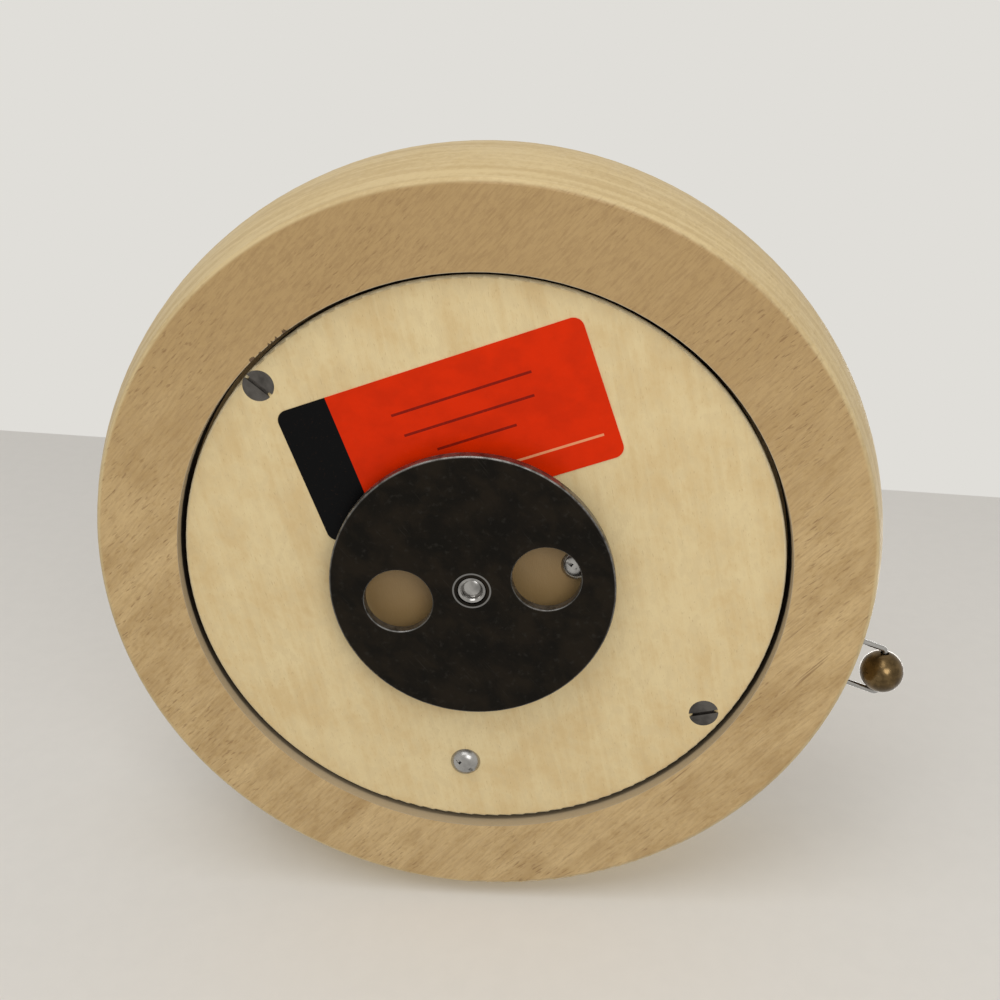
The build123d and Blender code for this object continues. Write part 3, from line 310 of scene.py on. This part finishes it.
def beech_finish(settings):
    """Turned beech: streaks, mottling, short flecks, lathe lines and a torn rebate edge, with painted
    shade over the upper face and in the gap round the plate.
    """
    finish = Finish("turned_beech")
    axis = (case_centre.x, case_centre.y, 0)
    height_up = finish.axes()[2]
    from_axis = finish.radius(axis)
    on_side = finish.ramp(from_axis, face_radius - 0.0006, face_radius - 0.0001)
    on_face = finish.math("SUBTRACT", 1.0, on_side)
    streaks = finish.noise(
        finish.space((settings.streak, 0.0026, 0.0042), settings.grain), 4, 0.6, 0.4)
    clouds = finish.noise(finish.space((0.009, 0.006, 0.008), settings.grain), 4, 0.62)
    patches = finish.noise(finish.space((0.026, 0.020, 0.03), 0.4), 2)
    mottle = finish.noise(finish.space((0.0014, 0.0007, 0.0008), settings.grain), 3, 0.65)
    fine = finish.noise(finish.space((0.0034, 0.00036, 0.0005), settings.grain), 3, 0.6)
    tone = finish.math("ADD", finish.times(streaks, 0.28), finish.times(clouds, 0.34))
    tone = finish.math("ADD", tone, finish.times(mottle, 0.38))
    face = finish.blend(finish.ramp(tone, 0.36, 0.61), settings.face_deep, settings.face)
    # Painted shade: the face is darkened towards -Y, where less light falls, using the deeper streak
    # colour.
    painted_shade_upper = finish.ramp(finish.axes()[1], -0.050, 0.002, 0.9, 0.0)
    face = finish.blend(painted_shade_upper, face, settings.face_deep)
    face = finish.blend(finish.ramp(fine, 0.42, 0.68, 0.0, 0.24), face, settings.fleck)
    face = finish.blend(finish.ramp(mottle, 0.44, 0.62, 0.0, 0.2), face, settings.fleck)

    rim_streaks = finish.noise(finish.space((0.024, 0.024, 0.0012)), 4, 0.6, 0.2)
    side_tone = finish.math("ADD", finish.times(rim_streaks, 0.7), finish.times(mottle, 0.3))
    side = finish.blend(finish.ramp(side_tone, 0.38, 0.6), settings.side_deep, settings.side)
    wood = finish.blend(on_side, face, side)

    dash = finish.noise(
        finish.space((settings.fleck_length, 0.00036, 0.0005), settings.grain + 0.12), 1.5, 0.5, 0.2)
    flecks = finish.times(
        finish.ramp(dash, 0.58, 0.72), finish.ramp(patches, 0.40, 0.62, 0.12, 0.62),
        finish.ramp(on_face, 0, 1, 0.3, 1))
    wood = finish.blend(flecks, wood, settings.fleck)

    saw = finish.noise(finish.space((0.017, 0.00062, 0.02), settings.grain), 2, 0.55, 0.1)
    right_part = finish.ramp(finish.axes()[0], 0.006, 0.030)
    saw_lines = finish.times(finish.ramp(saw, 0.66, 0.78), right_part, on_face, 0.7)
    wood = finish.blend(saw_lines, wood, settings.fleck)

    lathe = finish.noise(finish.space((0.09, 0.09, 0.00055)), 3, 0.6)
    lathe_lines = finish.times(finish.ramp(lathe, 0.56, 0.70), on_side, 0.5)
    wood = finish.blend(lathe_lines, wood, settings.side_deep)

    by_plate = finish.ramp(height_up, plate_high.z - 0.0002, plate_high.z, 1, 0)
    in_rebate = finish.times(
        by_plate, finish.ramp(from_axis, rebate_radius + 0.00002, rebate_radius + 0.00012, 1, 0))
    wood = finish.blend(in_rebate, wood, settings.wall)
    bearing = finish.bearing(axis)
    ragged = finish.noise_along(finish.times(bearing, rebate_radius / 0.0013), 3, 0.6)
    torn_place = finish.band(bearing, math.radians(-129.5), math.radians(4.5), 0.05)
    torn_depth = finish.times(finish.ramp(ragged, 0.46, 0.68), torn_place, 0.00052)
    torn_reach = finish.math("ADD", torn_depth, rebate_radius)
    torn = finish.times(
        by_plate, finish.ramp(finish.math("SUBTRACT", torn_reach, from_axis), 0, 0.00022))
    # Painted shade: the wall down in the gap round the plate takes the dark gap colour, fading to half
    # towards +Y, where more light falls.
    painted_gap_shade = finish.times(in_rebate, finish.ramp(height_up, plate_low.z, plate_low.z + 0.0005))
    gap_shade_falloff = finish.ramp(finish.axes()[1], 0.0, 0.045, 1.0, 0.5)
    wood = finish.blend(finish.times(torn, 0.85), wood, settings.chip)
    wood = finish.blend(finish.times(painted_gap_shade, gap_shade_falloff), wood, settings.gap)

    relief = finish.math("SUBTRACT", finish.times(fine, 0.5), flecks)
    relief = finish.math("SUBTRACT", relief, finish.times(saw_lines, 1.2))
    relief = finish.math("ADD", relief, finish.times(lathe, on_side, 1.4))
    relief = finish.math("ADD", relief, finish.times(mottle, 0.7))
    relief = finish.math("SUBTRACT", relief, finish.times(torn, 3.0))
    finish.relief(relief, 0.00005)
    rough = finish.ramp(streaks, 0.3, 0.7, settings.sheen + 0.08, settings.sheen - 0.06)
    return finish.surface(wood, rough)


def ply_finish(settings):
    """Birch ply: a pale cloudy face, painted shade under the disc and in the gap, a painted highlight
    on the rounded edge, and plies at the edge.
    """
    finish = Finish("birch_ply")
    axis = (case_centre.x, case_centre.y, 0)
    height_up = finish.axes()[2]
    from_axis = finish.radius(axis)
    from_arbor = finish.radius((0, 0, 0))
    streaks = finish.noise(
        finish.space((settings.streak, 0.0016, 0.004), settings.grain), 4, 0.6, 0.5)
    clouds = finish.noise(finish.space((0.010, 0.008, 0.02), 0.6), 4, 0.6, 0.3)
    mottle = finish.noise(finish.space((0.0022, 0.0016, 0.002), settings.grain), 3, 0.6)
    fine = finish.noise(finish.space((0.0024, 0.00026, 0.0004), settings.grain), 3, 0.6)
    pores = finish.noise(finish.space((0.0008, 0.00016, 0.0004), settings.grain), 1)
    tone = finish.math("ADD", finish.times(streaks, 0.26), finish.times(clouds, 0.44))
    tone = finish.math("ADD", tone, finish.times(mottle, 0.3))
    wood = finish.blend(finish.ramp(tone, 0.37, 0.59), settings.warm, settings.pale)
    wood = finish.blend(finish.ramp(fine, 0.5, 0.75, 0, 0.2), wood, settings.warm)
    wood = finish.blend(finish.ramp(pores, 0.66, 0.78, 0, 0.3), wood, settings.core)
    wood = finish.blend(finish.ramp(mottle, 0.46, 0.64, 0, 0.12), wood, settings.core)
    # Painted shade: the ply under the disc is darkened, as if lying in the disc's shadow.
    shade_reach = finish.math("ADD", from_arbor, finish.times(clouds, 0.005))
    shade_under_disc = finish.ramp(shade_reach, disc_radius - 0.0032, disc_radius + 0.0028, 0.9, 0)
    wood = finish.blend(shade_under_disc, wood, settings.shade_under_disc)
    # Painted highlight: the rounded edge of the face is lightened, as if catching the light.
    painted_edge_highlight = finish.ramp(from_axis, plate_radius - 0.0005, plate_radius - 0.0002)
    wood = finish.blend(finish.times(painted_edge_highlight, 0.7), wood, settings.edge)
    thickness = plate_high.z - plate_low.z
    core = finish.band(height_up, (plate_high.z + plate_low.z) / 2, thickness / 6, 0.00008)
    wood = finish.blend(finish.times(core, 0.8), wood, settings.core)
    # Painted shade: the side of the plate down in the gap takes the dark gap colour.
    plate_gap_shade = finish.times(
        finish.ramp(from_axis, plate_radius - 0.00008, plate_radius - 0.00003),
        finish.ramp(height_up, plate_low.z + 0.00042, plate_low.z + 0.00075))
    wood = finish.blend(plate_gap_shade, wood, settings.gap)
    finish.relief(finish.math("ADD", finish.times(fine, 0.6), pores), 0.00002)
    rough = finish.ramp(clouds, 0.3, 0.7, settings.sheen + 0.07, settings.sheen - 0.05)
    return finish.surface(wood, rough)


# ---------------------------------------------------------------- sticker

def sticker_finish(settings):
    """Red print with a black band and plain rules, on a thin coated paper."""
    finish = Finish("printed_sticker")
    local = finish.space((1, 1, 1), settings.turn, tuple(label_centre))
    x, y, _ = finish.axes(local)
    paper = finish.noise(finish.space((0.00025, 0.00025, 0.00025)), 2, 0.6)
    wear = finish.noise(finish.space((0.006, 0.005, 0.005)), 3, 0.6)
    worn_red = tuple(part * 0.86 for part in settings.red)
    print_colour = finish.blend(finish.ramp(wear, 0.35, 0.7), settings.red, worn_red)
    band_end = settings.band - STICKER_HALF_LENGTH
    in_band = finish.ramp(x, band_end, band_end + 0.00006, 1, 0)

    def rule(middle_x, middle_y, half, thickness):
        """A printed line along the sticker."""
        along = finish.band(x, middle_x, half, 0.00008)
        across = finish.band(y, middle_y, thickness / 2, 0.00006)
        return finish.times(along, across, finish.ramp(paper, 0.2, 0.5, 0.7, 1))

    dark_rules = rule(0.0035, -0.0052, 0.0105, settings.rule)
    for middle, half in ((-0.0018, 0.0098), (0.0016, 0.0060)):
        dark_rules = finish.math("MAXIMUM", dark_rules, rule(0.0035, middle, half, settings.rule))
    pale_rule = rule(0.0128, 0.0068, 0.0080, settings.rule * 0.9)
    print_colour = finish.blend(finish.times(dark_rules, 0.85), print_colour, settings.ink)
    print_colour = finish.blend(finish.times(pale_rule, 0.8), print_colour, settings.pale)
    print_colour = finish.blend(in_band, print_colour, settings.black)
    speckle = finish.ramp(paper, 0.64, 0.8, 0, 0.04)
    print_colour = finish.blend(speckle, print_colour, settings.pale)
    finish.relief(finish.math("ADD", paper, finish.times(wear, 2.0)), 0.000008)
    return finish.surface(
        print_colour, finish.ramp(wear, 0.3, 0.7, 0.34, 0.46), Specular_IOR_Level=0.1)


# ---------------------------------------------------------------- metals

def brushed_metal(name, base, rough, stretch=(0.004, 0.00012, 0.0006), turn=0.3, dirt=0.25):
    """A metal with fine drawn lines, light smudges and a little dirt."""
    finish = Finish(name)
    lines = finish.noise(finish.space(stretch, turn), 3, 0.6)
    smudges = finish.noise(finish.space((0.0035, 0.003, 0.003), 0.8), 3, 0.6)
    dull = tuple(part * (1 - dirt) for part in base)
    metal = finish.blend(finish.ramp(smudges, 0.34, 0.7), base, dull)
    finish.relief(lines, 0.000006)
    rough_map = finish.math("ADD", finish.ramp(smudges, 0.3, 0.7, rough - 0.06, rough + 0.09),
                            finish.ramp(lines, 0.3, 0.7, -0.03, 0.04))
    return finish.surface(metal, rough_map, 1.0)


def cast_finish(base):
    """A blasted casting: even pits, with darker patches."""
    finish = Finish("blasted_casting")
    pits = finish.noise(finish.space((0.00018, 0.00018, 0.00018)), 2, 0.6)
    clouds = finish.noise(finish.space((0.006, 0.006, 0.006)), 3, 0.6)
    dull = tuple(part * 0.72 for part in base)
    metal = finish.blend(finish.ramp(clouds, 0.35, 0.7), base, dull)
    metal = finish.blend(finish.ramp(pits, 0.52, 0.7, 0, 0.35), metal, dull)
    finish.relief(pits, 0.00003)
    return finish.surface(metal, finish.ramp(pits, 0.3, 0.7, 0.42, 0.6), 1.0)


def blackened_finish(settings):
    """Blackened sheet steel, smudged by fingers, with bright worn edges at the rim and the holes."""
    finish = Finish("blackened_steel")
    smudges = finish.noise(finish.space((0.0065, 0.005, 0.005), 0.7), 4, 0.62, 0.3)
    mottle = finish.noise(finish.space((0.0011, 0.0011, 0.0011)), 3, 0.6)
    rubbed = finish.noise(finish.space((0.0016, 0.0016, 0.0016)), 3, 0.6)
    lighter = tuple(part * 2.6 + 0.004 for part in settings.blackened)
    brown = (settings.blackened[0] * 1.7, settings.blackened[1] * 1.5, settings.blackened[2] * 1.3)
    metal = finish.blend(finish.ramp(smudges, 0.36, 0.66), settings.blackened, brown)
    metal = finish.blend(finish.ramp(mottle, 0.55, 0.75, 0, 0.5), metal, lighter)
    scratches = finish.noise(finish.space((0.0065, 0.00012, 0.002), 0.9, (0.002, 0, 0)), 1)
    metal = finish.blend(finish.ramp(scratches, 0.71, 0.78, 0, 0.8), metal, lighter)
    from_axis = finish.radius((0, 0, 0))
    rim = finish.ramp(from_axis, disc_radius - 0.00034, disc_radius - 0.00005)
    for centre in (finger_hole, -finger_hole):
        hole_edge = finish.ramp(
            finish.radius(tuple(centre)), finger_hole_radius + 0.00006, finger_hole_radius + 0.0002,
            0.8, 0)
        rim = finish.math("MAXIMUM", rim, hole_edge)
    edge = finish.times(rim, finish.ramp(rubbed, 0.3, 0.62, 0.35, 1))
    riveting = finish.band(from_axis, riveting_radius, 0.00008, 0.00008)
    edge = finish.math("MAXIMUM", edge, finish.times(riveting, 0.8))
    metal = finish.blend(edge, metal, tuple(part * 0.62 for part in settings.steel))
    finish.relief(finish.math("ADD", mottle, finish.times(scratches, 0.8)), 0.000012)
    rough = finish.ramp(smudges, 0.3, 0.7, 0.34, 0.5)
    return finish.surface(metal, rough, 1.0)


def bead_finish(settings):
    """Darkened brass: brown in the hollows of the old polish, brighter where it is handled."""
    finish = Finish("darkened_brass")
    patina = finish.noise(finish.space((0.0021, 0.0021, 0.0021)), 4, 0.65)
    speck = finish.noise(finish.space((0.00035, 0.00035, 0.00035)), 2, 0.5)
    dark = tuple(part * 0.5 for part in settings.bronze)
    warm = tuple(min(1, part * 1.7) for part in settings.bronze)
    metal = finish.blend(finish.ramp(patina, 0.36, 0.66), settings.bronze, dark)
    metal = finish.blend(finish.ramp(speck, 0.62, 0.76, 0, 0.5), metal, warm)
    finish.relief(finish.math("ADD", patina, finish.times(speck, 0.4)), 0.00002)
    return finish.surface(metal, finish.ramp(patina, 0.3, 0.7, 0.2, 0.36), 1.0)


# ---------------------------------------------------------------- operators

class DressOperator(bpy.types.Operator):
    """What all of the dressing steps share."""
    bl_options = {"REGISTER", "UNDO"}

    @classmethod
    def poll(cls, context):
        return context.scene is not None


class MUSICBOX_OT_dress_base(DressOperator):
    """Give the turned base its beech"""
    bl_idname = "musicbox.dress_base"
    bl_label = "Turned base"

    def execute(self, context):
        dress(beech_finish(context.scene.musicbox_beech), "wood_base")
        return {"FINISHED"}


class MUSICBOX_OT_dress_plate(DressOperator):
    """Give the bottom plate its ply"""
    bl_idname = "musicbox.dress_plate"
    bl_label = "Bottom plate"

    def execute(self, context):
        dress(ply_finish(context.scene.musicbox_ply), "bottom_plate")
        return {"FINISHED"}


class MUSICBOX_OT_print_sticker(DressOperator):
    """Print the sticker in red and black with plain rules"""
    bl_idname = "musicbox.print_sticker"
    bl_label = "Sticker"

    def execute(self, context):
        dress(sticker_finish(context.scene.musicbox_sticker), "label")
        return {"FINISHED"}


class MUSICBOX_OT_dress_winder(DressOperator):
    """Blacken the winding disc and polish its hub and arbor"""
    bl_idname = "musicbox.dress_winder"
    bl_label = "Winder"

    def execute(self, context):
        metals = context.scene.musicbox_metals
        dress(blackened_finish(metals), "winding_disc")
        dress(brushed_metal("polished_hub", metals.steel, 0.15, dirt=0.5), "winder_hub", "arbor")
        return {"FINISHED"}


class MUSICBOX_OT_dress_screws(DressOperator):
    """Darken the wood screws and polish the machine screws"""
    bl_idname = "musicbox.dress_screws"
    bl_label = "Screws"

    def execute(self, context):
        metals = context.scene.musicbox_metals
        dress(brushed_metal("dark_screw_steel", metals.dark_steel, 0.33, dirt=0.5), "plate_screws")
        dress(brushed_metal("bright_screw_steel", metals.steel, 0.24, dirt=0.35),
              "movement_screws", "frame_screws", "comb_screws", "click_screw")
        return {"FINISHED"}


class MUSICBOX_OT_dress_stop(DressOperator):
    """Finish the stop wire and its bead"""
    bl_idname = "musicbox.dress_stop"
    bl_label = "Stop wire and bead"

    def execute(self, context):
        metals = context.scene.musicbox_metals
        dress(brushed_metal("drawn_wire", metals.steel, 0.22, (0.0012, 0.0001, 0.0012), 0.35),
              "stop_wire")
        dress(bead_finish(metals), "bead")
        return {"FINISHED"}


class MUSICBOX_OT_dress_movement(DressOperator):
    """Give the pieces of the movement their metals"""
    bl_idname = "musicbox.dress_movement"
    bl_label = "Movement"

    def execute(self, context):
        metals = context.scene.musicbox_metals
        dress(cast_finish(metals.cast), "bedplate")
        dress(brushed_metal("sheet_brass", metals.brass, 0.3, (0.006, 0.0002, 0.002), 0.1),
              "front_plate", "train_plate", "cylinder_bracket", "click_spring", "fan")
        dress(brushed_metal("turned_brass", metals.brass, 0.24, (0.0016, 0.00014, 0.0016)),
              "great_wheel", "arbor_bush", "cage_rivets", "cylinder_pinion", "cylinder_wheel",
              "cylinder_caps", "worm_wheel")
        dress(brushed_metal("cylinder_brass", metals.brass, 0.34, (0.0004, 0.006, 0.0004), 0.0),
              "pin_cylinder")
        dress(brushed_metal("plated_sheet", metals.nickel, 0.22), "spring_cage", "governor_frame",
              "arbor_clip")
        dress(brushed_metal("spring_strip", metals.spring, 0.28), "mainspring")
        dress(brushed_metal("ground_steel", metals.comb, 0.3, (0.0002, 0.006, 0.002), 0.0),
              "comb", "click", "ratchet_wheel")
        dress(brushed_metal("arbor_steel", metals.steel, 0.18), "cylinder_arbor",
              "cylinder_pins", "second_pinion", "governor_worm")
        return {"FINISHED"}


class MUSICBOX_OT_build_studio(DressOperator):
    """Lay the pale floor, hang the lamps and set the camera"""
    bl_idname = "musicbox.build_studio"
    bl_label = "Studio"

    def execute(self, context):
        studio = context.scene.musicbox_studio
        lay_floor(studio)
        light_world(context.scene, studio)
        hang_lamp("key_lamp", studio.key, 0.46, Vector((-0.10, -0.60, -0.24)))
        hang_lamp("fill_lamp", studio.fill, 0.20, Vector((0.16, -0.20, -0.36)))
        hang_lamp("glint_lamp", studio.glint, 0.035, Vector((0.10, -0.36, -0.46)))
        hang_lamp("back_lamp", studio.back, 0.30, Vector((0.20, 0.24, 0.50)))
        set_camera(context.scene, studio)
        context.scene.view_settings.view_transform = "Standard"
        return {"FINISHED"}


class MUSICBOX_PT_panel(bpy.types.Panel):
    """The dressing steps, in the order in which they run"""
    bl_idname = "MUSICBOX_PT_panel"
    bl_label = "Music Box"
    bl_space_type = "VIEW_3D"
    bl_region_type = "UI"
    bl_category = "Music Box"

    def draw(self, context):
        for operator in STEPS:
            self.layout.operator(operator.bl_idname)


# ---------------------------------------------------------------- studio

def lay_floor(studio):
    """A flat floor that the rim stands on, which only the camera sees, and only from above."""
    bpy.ops.object.select_all(action="DESELECT")
    level = base_high.y + FLOOR_GAP
    bpy.ops.mesh.primitive_plane_add(size=1, location=(0, level, 0), rotation=(math.pi / 2, 0, 0))
    floor = bpy.context.object
    floor.name = "studio_floor"
    bpy.ops.object.transform_apply(location=True, rotation=True, scale=True)
    for vertex in floor.data.vertices:
        left = vertex.co.x < 0
        vertex.co.x = -FLOOR_HALF_WIDTH if left else FLOOR_HALF_WIDTH
        if vertex.co.z > 0:
            vertex.co.z = FLOOR_FAR_LEFT if left else FLOOR_FAR_RIGHT
        else:
            vertex.co.z = FLOOR_NEAR
    finish = Finish("floor_finish")
    grain = finish.noise(finish.space((0.004, 0.004, 0.004)), 3, 0.6)
    darker = tuple(part * 0.985 for part in studio.floor)
    tone = finish.blend(finish.ramp(grain, 0.3, 0.7), studio.floor, darker)
    finish.surface(tone, 0.8)
    see_through = finish.add("ShaderNodeBsdfTransparent")
    geometry = finish.add("ShaderNodeNewGeometry")
    rays = finish.add("ShaderNodeLightPath")
    unseen = finish.math("SUBTRACT", 1.0, rays.outputs["Is Camera Ray"])
    choice = finish.add("ShaderNodeMixShader")
    finish.feed(choice.inputs[0], finish.math("MAXIMUM", geometry.outputs["Backfacing"], unseen))
    finish.feed(choice.inputs[1], finish.shader.outputs["BSDF"])
    finish.feed(choice.inputs[2], see_through.outputs["BSDF"])
    output = finish.tree.nodes["Material Output"]
    finish.feed(output.inputs["Surface"], choice.outputs["Shader"])
    floor.data.materials.append(finish.material)


def light_world(scene, studio):
    """Soft light from all round, and a pale wall where the camera or a mirror looks past the floor."""
    world = bpy.data.worlds.new("studio_world")
    scene.world = world
    world.use_nodes = True
    nodes = world.node_tree.nodes
    links = world.node_tree.links
    light = nodes["Background"]
    light.inputs["Color"].default_value = (1, 1, 1, 1)
    light.inputs["Strength"].default_value = studio.ambient
    wall = nodes.new("ShaderNodeBackground")
    wall.inputs["Color"].default_value = (*studio.wall, 1)
    rays = nodes.new("ShaderNodeLightPath")
    seen = rays.outputs["Is Camera Ray"]
    for name in ("Is Glossy Ray", "Is Transmission Ray"):
        either = nodes.new("ShaderNodeMath")
        either.operation = "MAXIMUM"
        links.new(seen, either.inputs[0])
        links.new(rays.outputs[name], either.inputs[1])
        seen = either.outputs[0]
    choice = nodes.new("ShaderNodeMixShader")
    links.new(seen, choice.inputs[0])
    links.new(light.outputs[0], choice.inputs[1])
    links.new(wall.outputs[0], choice.inputs[2])
    links.new(choice.outputs[0], nodes["World Output"].inputs["Surface"])


def hang_lamp(name, power, size, place):
    """A square soft lamp that looks at the middle of the base."""
    data = bpy.data.lights.new(name, "AREA")
    data.energy = power
    data.size = size
    lamp = bpy.data.objects.new(name, data)
    bpy.context.scene.collection.objects.link(lamp)
    lamp.matrix_world = (Matrix.Translation(place)
                         @ (case_centre - place).to_track_quat("-Z", "Y").to_matrix().to_4x4())


def set_camera(scene, studio):
    """The camera looks up at the underside of the leaning base."""
    data = bpy.data.cameras.new("photo_camera")
    data.sensor_width = 36
    data.lens = studio.lens
    data.clip_start = 0.005
    data.clip_end = 20
    camera = bpy.data.objects.new("photo_camera", data)
    scene.collection.objects.link(camera)
    lean = Matrix.Rotation(studio.tilt, 3, "X") @ Matrix.Rotation(studio.swing, 3, "Y")
    facing = Matrix.Diagonal((1, -1, -1)) @ lean.transposed()
    camera.matrix_world = Matrix.Translation(Vector(studio.camera_place)) @ facing.to_4x4()
    scene.camera = camera


# ---------------------------------------------------------------- registration

STEPS = (
    MUSICBOX_OT_dress_base,
    MUSICBOX_OT_dress_plate,
    MUSICBOX_OT_print_sticker,
    MUSICBOX_OT_dress_winder,
    MUSICBOX_OT_dress_screws,
    MUSICBOX_OT_dress_stop,
    MUSICBOX_OT_dress_movement,
    MUSICBOX_OT_build_studio,
)

SETTINGS = (
    ("musicbox_beech", BeechSettings),
    ("musicbox_ply", PlySettings),
    ("musicbox_sticker", StickerSettings),
    ("musicbox_metals", MetalSettings),
    ("musicbox_studio", StudioSettings),
)


def register():
    for name, group in SETTINGS:
        bpy.utils.register_class(group)
        setattr(bpy.types.Scene, name, bpy.props.PointerProperty(type=group))
    for operator in STEPS:
        bpy.utils.register_class(operator)
    bpy.utils.register_class(MUSICBOX_PT_panel)


def unregister():
    bpy.utils.unregister_class(MUSICBOX_PT_panel)
    for operator in reversed(STEPS):
        bpy.utils.unregister_class(operator)
    for name, group in reversed(SETTINGS):
        delattr(bpy.types.Scene, name)
        bpy.utils.unregister_class(group)


def main():
    """Runs every step in order."""
    register()
    for operator in STEPS:
        family, step = operator.bl_idname.split(".")
        getattr(getattr(bpy.ops, family), step)()


if __name__ == "__main__":
    main()
